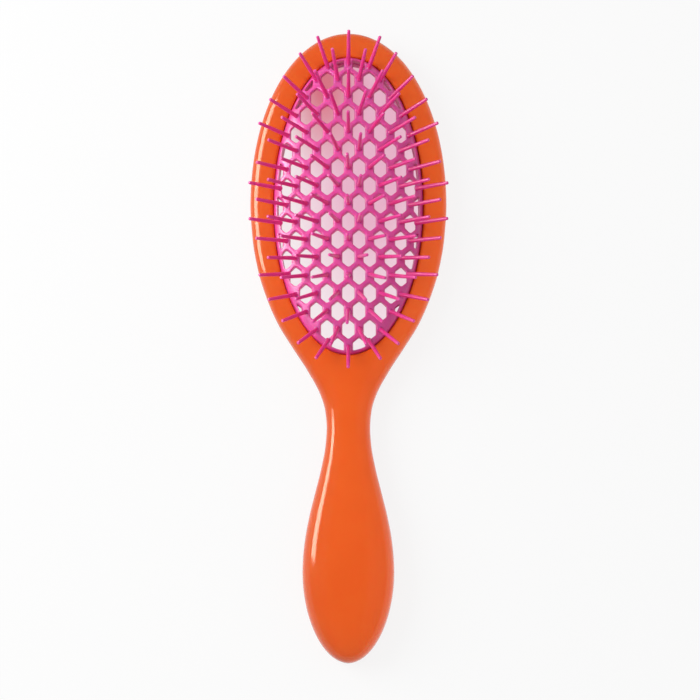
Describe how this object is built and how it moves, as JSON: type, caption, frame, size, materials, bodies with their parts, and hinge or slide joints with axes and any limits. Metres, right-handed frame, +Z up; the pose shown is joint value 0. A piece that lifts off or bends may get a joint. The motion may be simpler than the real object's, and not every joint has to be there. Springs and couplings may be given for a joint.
{
  "type": "oval hair brush",
  "caption": "Oval cushion hair brush: a hollow two-shell frame with a waisted handle clamps a domed, windowed elastomer net with splayed pins.",
  "frame": {"origin": "on the surface that the brush lies on, pins up, under the middle of its bounding box", "axes": "+Y along the brush towards the head's tip, +Z up out of the pins' side, +X across"},
  "size_m": [0.0724, 0.232, 0.0343],
  "materials": {
    "front_plastic": "glossy orange injection-moulded plastic",
    "back_plastic": "glossy orange injection-moulded plastic",
    "rim_elastomer": "satin pink elastomer",
    "net_elastomer": "satin pink elastomer"
  },
  "bodies": {
    "frame": {"front_shell": "front_plastic", "back_shell": "back_plastic", "pad_rim": "rim_elastomer"},
    "pad": {"pin_pad": "net_elastomer"}
  },
  "joints": [
    {"name": "pad_press", "type": "slide", "parent": "frame", "child": "pad", "axis": [0, 0, -1], "range_m": [0, 0.0025], "stiffness_N_per_m": 3000, "deforming": ["pad_rim"]}
  ]
}
